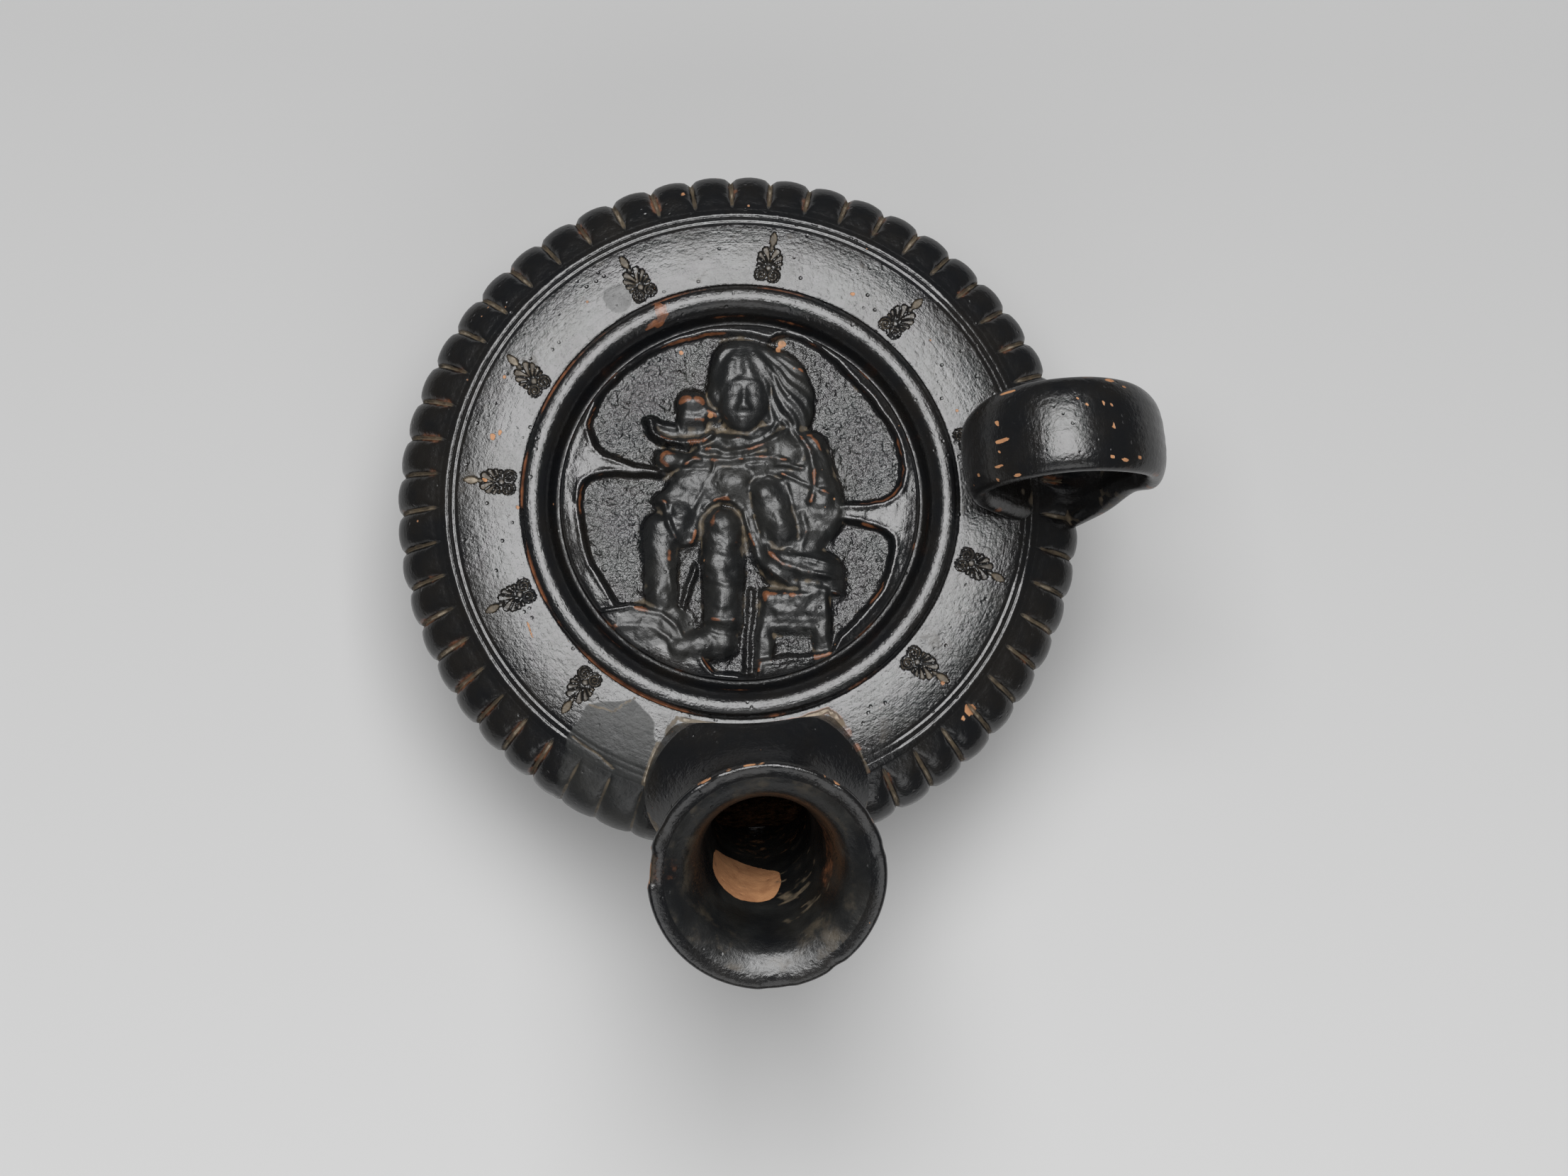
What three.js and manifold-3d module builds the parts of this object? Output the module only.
// A black-glazed guttus: a low round oil vessel of fired clay, made as one piece. Its wall is ribbed,
// its flat top carries stamped palmettes and a moulded medallion inside a torus ring, and a flaring
// spout and a ring handle stand on the shoulder. Millimetres, +Z up, spout towards -Y, handle
// towards +X, the origin under the middle of the whole vessel, on the plane it stands on.
import * as THREE from "three";
import { mergeVertices } from "three/addons/utils/BufferGeometryUtils.js";
import Module from "manifold-3d";

const wasm = await Module();
wasm.setup();

// Body
const BODY_RADIUS = 56.4;
const CREST_HEIGHT = 32.6;
const SHOULDER_WIDTH = 9.9;
const SHOULDER_RISE = 10;
const WALL = 4;

// Foot ring and the recess inside it
const FOOT_RADIUS = 31;
const FOOT_HEIGHT = 5.5;
const FOOT_FLARE = 1.2;
const FOOT_RING_WIDTH = 5;
const UNDERSIDE_RECESS = 4;

// Ribs of the wall
const RIB_COUNT = 54;
const RIB_DEPTH = 1.1;
const RIB_RUN_IN = 5;
const RIB_FLANK_SHARE = 0.1;
const LEVELS_PER_RIB = 3;

// Flat top, from its edge inwards
const EDGE_RIDGE_WIDTH = 1.1;
const EDGE_RIDGE_RISE = 0.5;
const DISC_STEP = 1;
const DISC_RISE = 1;
const BAND_WIDTH = 10.4;
const GROOVE_WIDTH = 0.8;
const GROOVE_DEPTH = 0.5;
const TORUS_WIDTH = 4.5;
const TORUS_RISE = 2.1;
const SCOTIA_WIDTH = 1.3;
const SCOTIA_DEPTH = 2.6;

// Palmettes stamped in the flat band, with the bearing of each from +X
const PALMETTE_BEARINGS = [16.5, 49, 83, 115, 149, 175.5, 203.5, 230, 318, 344.5];
const PALMETTE_LENGTH = 8.6;
const PALMETTE_WIDTH = 4;
const PALMETTE_DEPTH = 0.5;

// Medallion
const MEDALLION_DROP = 0.3;
const GROUND_DEPTH = 1.4;
const FIGURE_RISE = 3.9;
const RELIEF_CELL = 1.7;

// Spout, measured along its own leaning axis from the level of the flat top
const SPOUT_BEARING = -86.7;
const SPOUT_LEAN = 24;
const SPOUT_INSET = 5.9;
const SPOUT_LENGTH = 34;
const COLLAR_RADIUS = 18.7;
const NECK_RADIUS = 11.3;
const NECK_HEIGHT = 14;
const MOUTH_RADIUS = 19.1;
const THROAT_RADIUS = 7.8;
const SPOUT_WALL = 2.1;
const LIP_ROUNDING = 1.1;
const OUTER_FLARE_SHARE = 0.25;
const FAIRING_PROUD = 8;

// Ring handle
const HANDLE_BEARING = 5;
const HANDLE_LEAN = 8;
const HANDLE_INSET = 4;
const HANDLE_CENTRE_RISE = 12.9;
const HANDLE_OUTER_RADIUS = 16.7;
const STRAP_WIDTH = 15.6;
const STRAP_LEG_WIDTH = 13.4;
const STRAP_THICKNESS = 5;

// Fineness of the round forms
const DISC_SEGMENTS = 54;
const CAVITY_SEGMENTS = 36;
const SPOUT_SEGMENTS = 24;
const STRAP_SECTION_POINTS = 10;
const STRAP_STEPS = 20;
const MERGE_TOLERANCE = 1e-4;

// Levels and radii that follow from them
const SHOULDER_RADIUS = BODY_RADIUS - SHOULDER_WIDTH;
const SHOULDER_TOP = CREST_HEIGHT + SHOULDER_RISE;
const DISC_EDGE_LEVEL = SHOULDER_TOP + DISC_STEP;
const DISC_LEVEL = DISC_EDGE_LEVEL + DISC_RISE;
const GROOVE_RADIUS = SHOULDER_RADIUS - BAND_WIDTH;
const TORUS_OUTER = GROOVE_RADIUS - GROOVE_WIDTH;
const TORUS_INNER = TORUS_OUTER - TORUS_WIDTH;
const MEDALLION_RADIUS = TORUS_INNER - SCOTIA_WIDTH;
const MEDALLION_LEVEL = DISC_LEVEL - MEDALLION_DROP;
const BURIED_LEVEL = SHOULDER_TOP - WALL / 2;
const DEGREE = Math.PI / 180;

function smoothStep(low, high, value) {
  const share = THREE.MathUtils.clamp((value - low) / (high - low), 0, 1);
  return share * share * (3 - 2 * share);
}

// Closed triangle mesh made into a solid, without the flat triangles at a lathe's poles
function toSolid(geometry) {
  geometry.deleteAttribute("normal");
  geometry.deleteAttribute("uv");
  const merged = mergeVertices(geometry, MERGE_TOLERANCE);
  const corners = merged.index.array;
  const kept = [];
  for (let i = 0; i < corners.length; i += 3) {
    const [a, b, c] = corners.slice(i, i + 3);
    if (a !== b && b !== c && c !== a) {
      kept.push(a, b, c);
    }
  }
  return new wasm.Manifold(new wasm.Mesh({
    numProp: 3,
    vertProperties: merged.attributes.position.array,
    triVerts: new Uint32Array(kept),
  }));
}

// Surface of revolution about Z from [radius, height] pairs listed upwards round the section
function turned(section, segments) {
  const points = section.map(([radius, height]) => new THREE.Vector2(radius, height));
  return new THREE.LatheGeometry(points, segments).rotateX(Math.PI / 2);
}

// Moves every vertex of a geometry by a function that changes a Vector3 in place
function moveVertices(geometry, change) {
  const positions = geometry.attributes.position;
  const vertex = new THREE.Vector3();
  for (let i = 0; i < positions.count; i += 1) {
    vertex.fromBufferAttribute(positions, i);
    change(vertex);
    positions.setXYZ(i, vertex.x, vertex.y, vertex.z);
  }
  return geometry;
}

// Radius of the plain wall at a height: a wide quarter ellipse below the crest, a tight one above
function wallRadius(height) {
  if (height > CREST_HEIGHT) {
    const share = Math.min((height - CREST_HEIGHT) / SHOULDER_RISE, 1);
    return SHOULDER_RADIUS + SHOULDER_WIDTH * Math.sqrt(1 - share * share);
  }
  const share = Math.min((CREST_HEIGHT - height) / (CREST_HEIGHT - FOOT_HEIGHT), 1);
  return FOOT_RADIUS + (BODY_RADIUS - FOOT_RADIUS) * Math.sqrt(1 - share * share);
}

// Wall between the foot and the flat top, its vertices drawn in along the grooves between ribs
function ribbedWall() {
  const section = [[0, FOOT_HEIGHT], [FOOT_RADIUS - WALL, FOOT_HEIGHT]];
  for (const turn of [74, 42]) {
    section.push([
      FOOT_RADIUS + (BODY_RADIUS - FOOT_RADIUS) * Math.cos(turn * DEGREE),
      CREST_HEIGHT - (CREST_HEIGHT - FOOT_HEIGHT) * Math.sin(turn * DEGREE),
    ]);
  }
  for (const turn of [0, 30, 56, 76]) {
    section.push([
      SHOULDER_RADIUS + SHOULDER_WIDTH * Math.cos(turn * DEGREE),
      CREST_HEIGHT + SHOULDER_RISE * Math.sin(turn * DEGREE),
    ]);
  }
  section.push([SHOULDER_RADIUS - WALL / 2, BURIED_LEVEL], [0, BURIED_LEVEL]);
  const shell = turned(section, RIB_COUNT * LEVELS_PER_RIB);
  const pitch = 2 * Math.PI / RIB_COUNT;
  return toSolid(moveVertices(shell, (vertex) => {
    const radius = Math.hypot(vertex.x, vertex.y);
    if (radius <= FOOT_RADIUS) {
      return;
    }
    const inset = vertex.z > CREST_HEIGHT ? SHOULDER_RADIUS : FOOT_RADIUS;
    const depth = RIB_DEPTH * smoothStep(inset, inset + RIB_RUN_IN, radius);
    const phase = Math.atan2(vertex.x, -vertex.y) / pitch;
    const onGroove = Math.abs(phase - Math.round(phase)) < 1 / (2 * LEVELS_PER_RIB);
    const drawn = 1 - depth * (onGroove ? 1 : RIB_FLANK_SHARE) / radius;
    vertex.x *= drawn;
    vertex.y *= drawn;
  }));
}

// Low flared ring under the wall, open in the middle
function footRing() {
  const inner = FOOT_RADIUS - FOOT_RING_WIDTH;
  return toSolid(turned([
    [inner, 0],
    [FOOT_RADIUS - FOOT_FLARE / 2, 0],
    [FOOT_RADIUS + FOOT_FLARE / 2, FOOT_HEIGHT / 4],
    [FOOT_RADIUS - FOOT_FLARE / 2, FOOT_HEIGHT],
    [FOOT_RADIUS - FOOT_FLARE, FOOT_HEIGHT + WALL / 2],
    [inner - FOOT_FLARE, FOOT_HEIGHT + WALL / 2],
    [inner - FOOT_FLARE, UNDERSIDE_RECESS],
    [inner, 0],
  ], DISC_SEGMENTS));
}

// Flat top with two fine ridges at its edge, the groove, the torus ring and the hollow inside it
function discTop() {
  const ridge = EDGE_RIDGE_WIDTH;
  const section = [
    [0, BURIED_LEVEL - WALL / 2],
    [SHOULDER_RADIUS, BURIED_LEVEL - WALL / 2],
    [SHOULDER_RADIUS + 3 * ridge, SHOULDER_TOP - DISC_STEP],
    [SHOULDER_RADIUS + 2.5 * ridge, SHOULDER_TOP + EDGE_RIDGE_RISE / 2],
    [SHOULDER_RADIUS + 1.7 * ridge, SHOULDER_TOP],
    [SHOULDER_RADIUS + 1.1 * ridge, DISC_EDGE_LEVEL + EDGE_RIDGE_RISE / 2],
    [SHOULDER_RADIUS + 0.5 * ridge, DISC_EDGE_LEVEL - EDGE_RIDGE_RISE / 2],
    [SHOULDER_RADIUS, DISC_EDGE_LEVEL],
    [GROOVE_RADIUS, DISC_LEVEL],
    [GROOVE_RADIUS - GROOVE_WIDTH / 2, DISC_LEVEL - GROOVE_DEPTH],
  ];
  const torusMiddle = TORUS_OUTER - TORUS_WIDTH / 2;
  for (const turn of [0, 45, 90, 135, 180]) {
    section.push([
      torusMiddle + TORUS_WIDTH / 2 * Math.cos(turn * DEGREE),
      DISC_LEVEL + TORUS_RISE * Math.sin(turn * DEGREE),
    ]);
  }
  section.push(
    [TORUS_INNER - SCOTIA_WIDTH / 4, DISC_LEVEL - SCOTIA_DEPTH],
    [MEDALLION_RADIUS - SCOTIA_WIDTH / 2, DISC_LEVEL - SCOTIA_DEPTH],
    [0, DISC_LEVEL - SCOTIA_DEPTH],
  );
  return toSolid(turned(section, DISC_SEGMENTS));
}

// Hollow inside, kept a wall's thickness from the plain outside
function cavity() {
  const floor = UNDERSIDE_RECESS + WALL;
  const ceiling = SHOULDER_TOP - WALL;
  const section = [[0, floor], [FOOT_RADIUS - FOOT_RING_WIDTH, floor + WALL / 4]];
  for (const turn of [72, 50, 28, 8]) {
    section.push([
      FOOT_RADIUS + (BODY_RADIUS - WALL - FOOT_RADIUS) * Math.cos(turn * DEGREE),
      CREST_HEIGHT - (CREST_HEIGHT - FOOT_HEIGHT - WALL) * Math.sin(turn * DEGREE),
    ]);
  }
  for (const turn of [30, 62]) {
    section.push([
      SHOULDER_RADIUS + (SHOULDER_WIDTH - WALL) * Math.cos(turn * DEGREE),
      CREST_HEIGHT + (SHOULDER_RISE - WALL) * Math.sin(turn * DEGREE),
    ]);
  }
  section.push([SHOULDER_RADIUS - WALL, ceiling], [0, ceiling]);
  return toSolid(turned(section, CAVITY_SEGMENTS));
}

// Leaf-shaped stamp of one palmette, its point towards the edge, cut to a shallow depth
function palmetteStamp(bearing) {
  const half = PALMETTE_LENGTH / 2;
  const leaf = new THREE.Shape();
  leaf.moveTo(-half, 0);
  leaf.quadraticCurveTo(-half, -PALMETTE_WIDTH / 2, -half / 3, -PALMETTE_WIDTH / 2);
  leaf.quadraticCurveTo(half / 2, -PALMETTE_WIDTH / 2, half, 0);
  leaf.quadraticCurveTo(half / 2, PALMETTE_WIDTH / 2, -half / 3, PALMETTE_WIDTH / 2);
  leaf.quadraticCurveTo(-half, PALMETTE_WIDTH / 2, -half, 0);
  const stamp = new THREE.ExtrudeGeometry(leaf, {
    depth: DISC_RISE + 2 * PALMETTE_DEPTH,
    bevelEnabled: false,
    curveSegments: 2,
  });
  stamp.translate(0, 0, -PALMETTE_DEPTH);
  stamp.rotateY(Math.atan2(DISC_RISE, BAND_WIDTH));
  stamp.translate(GROOVE_RADIUS + BAND_WIDTH / 2, 0, DISC_LEVEL - DISC_RISE / 2);
  stamp.rotateZ(bearing * DEGREE);
  return toSolid(stamp);
}

// Forms of the medallion's relief. Each takes a place on the medallion in thirtieths of its radius,
// x to the right and y up, and gives a height there as a share of the figure's rise.
function dome([cx, cy], [rx, ry], turn, rise) {
  const cos = Math.cos(turn * DEGREE);
  const sin = Math.sin(turn * DEGREE);
  return (x, y) => {
    const u = ((x - cx) * cos + (y - cy) * sin) / rx;
    const v = ((y - cy) * cos - (x - cx) * sin) / ry;
    return rise * Math.sqrt(Math.max(1 - u * u - v * v, 0));
  };
}

function limb([ax, ay], [bx, by], startRadius, endRadius, rise) {
  const length = Math.hypot(bx - ax, by - ay);
  return (x, y) => {
    const along = ((x - ax) * (bx - ax) + (y - ay) * (by - ay)) / length ** 2;
    const share = THREE.MathUtils.clamp(along, 0, 1);
    const away = Math.hypot(x - ax - share * (bx - ax), y - ay - share * (by - ay));
    const radius = THREE.MathUtils.lerp(startRadius, endRadius, share);
    return rise * Math.sqrt(Math.max(1 - (away / radius) ** 2, 0));
  };
}

// Flat-topped form inside an outline, its edge sloped over a bevel's width
function slab(outline, bevel, rise) {
  return (x, y) => {
    let inside = false;
    let nearest = Infinity;
    outline.forEach(([bx, by], i) => {
      const [ax, ay] = outline.at(i - 1);
      if ((ay > y) !== (by > y) && x < ax + (bx - ax) * (y - ay) / (by - ay)) {
        inside = !inside;
      }
      const along = ((x - ax) * (bx - ax) + (y - ay) * (by - ay)) / ((bx - ax) ** 2 + (by - ay) ** 2);
      const share = THREE.MathUtils.clamp(along, 0, 1);
      nearest = Math.min(nearest, Math.hypot(x - ax - share * (bx - ax), y - ay - share * (by - ay)));
    });
    return rise * smoothStep(-bevel, bevel, inside ? nearest : -nearest);
  };
}

// Round-edged ridge that follows a line of places
function ridge(places, width, rise) {
  const runs = places.slice(1).map((place, i) => limb(places[i], place, width / 2, width / 2, rise));
  return (x, y) => Math.max(...runs.map((run) => run(x, y)));
}

// Head: a cap of hair, a long mass of it behind, and a plain face set by the rule of halves
function head() {
  const crown = 26.6;
  const chin = 11.3;
  const faceX = 0.7;
  const eyeLine = (crown + chin) / 2 - 0.8;
  const noseBase = (eyeLine + chin) / 2;
  const face = dome([faceX, (crown + chin) / 2 - 2], [4.7, 5.6], -6, 0.9);
  return [
    dome([0.9, 19.7], [6.2, 7], -8, 0.8),
    dome([7.6, 18], [4.3, 7.2], 18, 0.6),
    (x, y) => {
      const flesh = face(x, y);
      const sockets = [-1.9, 1.9].map((side) => dome([faceX + side, eyeLine], [1.2, 0.8], 0, 0.08)(x, y));
      const nose = limb([faceX, eyeLine], [faceX, noseBase], 0.7, 1.1, 0.16)(x, y);
      return flesh > 0 ? flesh - sockets[0] - sockets[1] + nose : 0;
    },
  ];
}

// Hands at the left with a shallow dish held under the chin
function handsAndDish() {
  return [
    limb([-8.6, 16.2], [-6.4, 16.1], 1.8, 1.5, 0.68),
    limb([-8.9, 13.7], [-6.2, 13.7], 1.5, 1.4, 0.62),
    slab([[-14.6, 12.8], [-12.6, 10], [-8, 9.4], [-4.6, 11], [-4.8, 13], [-9.5, 12.8]], 0.6, 0.3),
    ridge([[-14.7, 13], [-14, 10.9], [-11.5, 9.7], [-7.4, 9.6], [-4.7, 11.2]], 1.7, 0.55),
    dome([-11.4, 6.8], [2.1, 1.8], 0, 0.55),
  ];
}

// Cloak and robe from the collar to the zigzag hem and over the seat
function drapery() {
  const cloth = [
    [-9.5, 6.6], [-10.8, 3.2], [-12.8, 0.2], [-12.1, -3], [-9.6, -7.6], [-7.6, -6.6], [-6.6, -2.8],
    [-4.5, -0.6], [-2.2, 0.4], [-0.2, -1.6], [1.4, -5.8], [2.6, -9.6], [7.5, -13.6], [16.6, -14.8],
    [16.2, -10], [13, -8], [16.8, -3.8], [16.6, 0], [14.8, 5.8], [12, 10.6], [8.8, 12.6], [-4.6, 11],
  ];
  return [
    slab(cloth, 0.8, 0.42),
    dome([7.3, 8.3], [4.3, 3.2], -10, 0.72),
    limb([11.4, 8.8], [14.3, -1.8], 3, 3.2, 0.6),
    dome([-1.2, 3], [6, 3.4], -4, 0.6),
    limb([4.6, 1], [6.6, -5.2], 3.5, 2.9, 0.86),
    limb([6.5, -10.6], [13.5, -11], 3.4, 3.5, 0.66),
    ridge([[-6.2, 8.8], [-3, 8.1], [1, 8.1], [4, 9.4], [7.4, 11.4]], 1.4, 0.58),
    ridge([[-8.4, 6.5], [-5, 6.9], [0, 6.6], [6, 6.9]], 1.3, 0.56),
    ridge([[-12.8, 0], [-11.8, -3.8], [-9.6, -7.4], [-7.6, -6.4], [-5.6, -1.4], [-2.3, 0.3]], 1.5, 0.68),
    ridge([[-2.3, 0.3], [0.4, -3.2], [2.2, -9], [7.6, -13.2]], 1.5, 0.68),
  ];
}

function legs() {
  return [
    limb([-3.1, -4.4], [-2.9, -10], 3.4, 3.4, 0.84),
    limb([-2.9, -10], [-2.7, -19.6], 3.4, 3, 0.72),
    limb([-9.6, -24.2], [-3.2, -23], 2.4, 2.9, 0.5),
    limb([-13.1, -4.6], [-12.8, -15.6], 2.8, 2.8, 0.52),
    dome([-14.5, -20.4], [7, 3.4], 8, 0.36),
  ];
}

// Block stool with a sunk panel, below the seat cloth
function stool() {
  const block = slab([[3.8, -14.6], [2.2, -28.4], [15.2, -28.4], [14.3, -14.6]], 0.5, 0.42);
  const panel = slab([[5.2, -20.8], [5, -27.2], [12.1, -27.2], [12.1, -20.8]], 0.5, 0.22);
  return [(x, y) => block(x, y) - panel(x, y)];
}

// Smooth margin of the medallion and the two struts that reach from it to the figure
function margin() {
  return (x, y) => {
    const radius = Math.hypot(x, y);
    const inner = 27.1 + 1.2 * y / Math.max(radius, 1);
    const left = 0.8 + 2.2 * smoothStep(-17, -27, x) - Math.abs(y - 4.8 + 0.18 * (x + 13.6));
    const right = 1.3 + 2.6 * smoothStep(19, 27, x) - Math.abs(y + 1.6 + 0.12 * (x - 17));
    const strut = x < -11 ? left : (x > 14 ? right : -1);
    return GROUND_DEPTH / FIGURE_RISE * smoothStep(-0.5, 0.5, Math.max(radius - inner, strut));
  };
}

// Block whose upper face is the relief, trimmed to the medallion's circle
function medallion() {
  const forms = [margin(), ...head(), ...handsAndDish(), ...drapery(), ...legs(), ...stool()];
  const unit = MEDALLION_RADIUS / 30;
  const span = 2 * MEDALLION_RADIUS + RELIEF_CELL;
  const cells = Math.round(span / RELIEF_CELL);
  const ground = MEDALLION_LEVEL - GROUND_DEPTH;
  const block = new THREE.BoxGeometry(span, span, WALL, cells, cells, 1);
  moveVertices(block, (vertex) => {
    if (vertex.z < 0) {
      vertex.z = BURIED_LEVEL - WALL / 2;
      return;
    }
    const share = Math.max(...forms.map((form) => form(vertex.x / unit, vertex.y / unit)));
    vertex.z = ground + FIGURE_RISE * share;
  });
  const trim = toSolid(new THREE.CylinderGeometry(
    MEDALLION_RADIUS, MEDALLION_RADIUS, 2 * DISC_LEVEL, DISC_SEGMENTS,
  ).rotateX(Math.PI / 2));
  return toSolid(block).intersect(trim);
}

// Share of a flare that is wide at one end and dies away towards the other
function flare(share) {
  return Math.max(share, 0) ** 2.2;
}

function mouthFlare(height) {
  return NECK_RADIUS + (MOUTH_RADIUS - NECK_RADIUS) * flare((height - NECK_HEIGHT) / (SPOUT_LENGTH - NECK_HEIGHT));
}

function neckOutside(height) {
  const collar = flare(Math.min((NECK_HEIGHT - height) / NECK_HEIGHT, 1));
  return mouthFlare(height) + (COLLAR_RADIUS - NECK_RADIUS) * collar;
}

function neckInside(height) {
  const opened = smoothStep(NECK_HEIGHT / 2, NECK_HEIGHT * 1.7, height);
  return THREE.MathUtils.lerp(THROAT_RADIUS, mouthFlare(height) - SPOUT_WALL, opened);
}

// Turns a form made upright on Z onto the spout's leaning axis
function placeOnSpout(geometry) {
  geometry.rotateY(SPOUT_LEAN * DEGREE);
  geometry.translate(BODY_RADIUS - SPOUT_INSET, 0, DISC_LEVEL);
  return geometry.rotateZ(SPOUT_BEARING * DEGREE);
}

// Trumpet spout, its collar held back from the torus ring and faired into the wall outside
function spout() {
  const depth = COLLAR_RADIUS * 0.9;
  const section = [[0, -depth], [COLLAR_RADIUS, -depth], [COLLAR_RADIUS, -depth / 2]];
  for (const share of [0, 0.08, 0.17, 0.28, 0.42, 0.58, 0.73, 0.87]) {
    section.push([neckOutside(SPOUT_LENGTH * share), SPOUT_LENGTH * share]);
  }
  section.push(
    [MOUTH_RADIUS, SPOUT_LENGTH - LIP_ROUNDING],
    [MOUTH_RADIUS - LIP_ROUNDING / 2, SPOUT_LENGTH],
    [0, SPOUT_LENGTH],
  );
  const trumpet = moveVertices(turned(section, SPOUT_SEGMENTS), (vertex) => {
    const radius = Math.hypot(vertex.x, vertex.y);
    if (radius > NECK_RADIUS && vertex.z < NECK_HEIGHT) {
      const outward = smoothStep(-0.3, 1, vertex.x / radius);
      const kept = THREE.MathUtils.lerp(1, OUTER_FLARE_SHARE, outward);
      const drawn = (NECK_RADIUS + (radius - NECK_RADIUS) * kept) / radius;
      vertex.x *= drawn;
      vertex.y *= drawn;
    }
  });
  return toSolid(moveVertices(placeOnSpout(trumpet), (vertex) => {
    const radius = Math.hypot(vertex.x, vertex.y);
    const fairing = smoothStep(CREST_HEIGHT - WALL * 2, DISC_LEVEL - WALL, vertex.z);
    const buried = wallRadius(Math.min(vertex.z, CREST_HEIGHT)) - WALL / 4;
    const outermost = fairing < 1 ? buried + FAIRING_PROUD * fairing : radius;
    const held = Math.max(Math.min(radius, outermost), GROOVE_RADIUS);
    vertex.x *= held / radius;
    vertex.y *= held / radius;
  }));
}

// Bore of the spout, from the funnel of the mouth down through the wall into the hollow
function spoutBore() {
  const section = [[0, -NECK_HEIGHT], [THROAT_RADIUS, -NECK_HEIGHT], [THROAT_RADIUS, NECK_HEIGHT / 2]];
  for (const share of [0.36, 0.52, 0.67, 0.8, 0.92]) {
    section.push([neckInside(SPOUT_LENGTH * share), SPOUT_LENGTH * share]);
  }
  section.push(
    [neckInside(SPOUT_LENGTH), SPOUT_LENGTH],
    [neckInside(SPOUT_LENGTH) + LIP_ROUNDING, SPOUT_LENGTH + LIP_ROUNDING],
    [0, SPOUT_LENGTH + LIP_ROUNDING],
  );
  return toSolid(placeOnSpout(turned(section, SPOUT_SEGMENTS)));
}

// Strap bent to a ring in an upright plane, its outer leg swept back into the crest of the wall
function handle() {
  const middleRadius = HANDLE_OUTER_RADIUS - STRAP_THICKNESS / 2;
  const centre = new THREE.Vector3(BODY_RADIUS - HANDLE_INSET, 0, DISC_LEVEL + HANDLE_CENTRE_RISE);
  const path = [new THREE.Vector3(SHOULDER_RADIUS, 0, SHOULDER_TOP - WALL / 2)];
  for (const turn of [218, 196, 170, 140, 108, 76, 44, 14, -16, -40]) {
    path.push(new THREE.Vector3(
      centre.x + middleRadius * Math.cos(turn * DEGREE),
      0,
      centre.z + middleRadius * Math.sin(turn * DEGREE),
    ));
  }
  path.push(new THREE.Vector3(BODY_RADIUS + STRAP_THICKNESS / 4, 0, SHOULDER_TOP - WALL / 2));
  path.push(new THREE.Vector3(BODY_RADIUS - WALL * 1.3, 0, CREST_HEIGHT - WALL / 2));
  const section = new THREE.Shape(Array.from({ length: STRAP_SECTION_POINTS }, (_, i) => {
    const turn = 2 * Math.PI * (i + 0.5) / STRAP_SECTION_POINTS;
    const across = Math.sign(Math.cos(turn)) * Math.abs(Math.cos(turn)) ** 0.7;
    const through = Math.sign(Math.sin(turn)) * Math.abs(Math.sin(turn)) ** 0.7;
    return new THREE.Vector2(across * STRAP_WIDTH / 2, through * STRAP_THICKNESS / 2);
  }));
  const strap = new THREE.ExtrudeGeometry(section, {
    steps: STRAP_STEPS,
    extrudePath: new THREE.CatmullRomCurve3(path),
  });
  moveVertices(strap, (vertex) => {
    const legShare = smoothStep(centre.z + middleRadius, centre.z, vertex.z);
    vertex.y *= THREE.MathUtils.lerp(1, STRAP_LEG_WIDTH / STRAP_WIDTH, legShare);
  });
  strap.translate(0, 0, -DISC_LEVEL);
  strap.rotateX(-HANDLE_LEAN * DEGREE);
  strap.translate(0, 0, DISC_LEVEL);
  return toSolid(strap.rotateZ(HANDLE_BEARING * DEGREE));
}

// Whole vessel: the outside forms joined, then the hollow, the bore and the stamps cut out
function vesselGeometry() {
  let body = ribbedWall();
  for (const form of [footRing(), discTop(), medallion(), spout(), handle()]) {
    body = body.add(form);
  }
  for (const cut of [cavity(), spoutBore(), ...PALMETTE_BEARINGS.map(palmetteStamp)]) {
    body = body.subtract(cut);
  }
  const mesh = body.getMesh();
  const geometry = new THREE.BufferGeometry();
  geometry.setAttribute("position", new THREE.BufferAttribute(mesh.vertProperties, mesh.numProp));
  geometry.setIndex(new THREE.BufferAttribute(mesh.triVerts, 1));
  geometry.computeVertexNormals();
  return geometry;
}

const blackGlaze = new THREE.MeshStandardMaterial({ color: 0x17181a, roughness: 0.35, metalness: 0 });
const vessel = new THREE.Mesh(vesselGeometry(), blackGlaze);
vessel.name = "guttus";

const group = new THREE.Group();
group.add(vessel);
const extent = new THREE.Box3().setFromObject(group, true);
const middle = extent.getCenter(new THREE.Vector3());
vessel.position.set(-middle.x, -middle.y, -extent.min.z);

export default group;
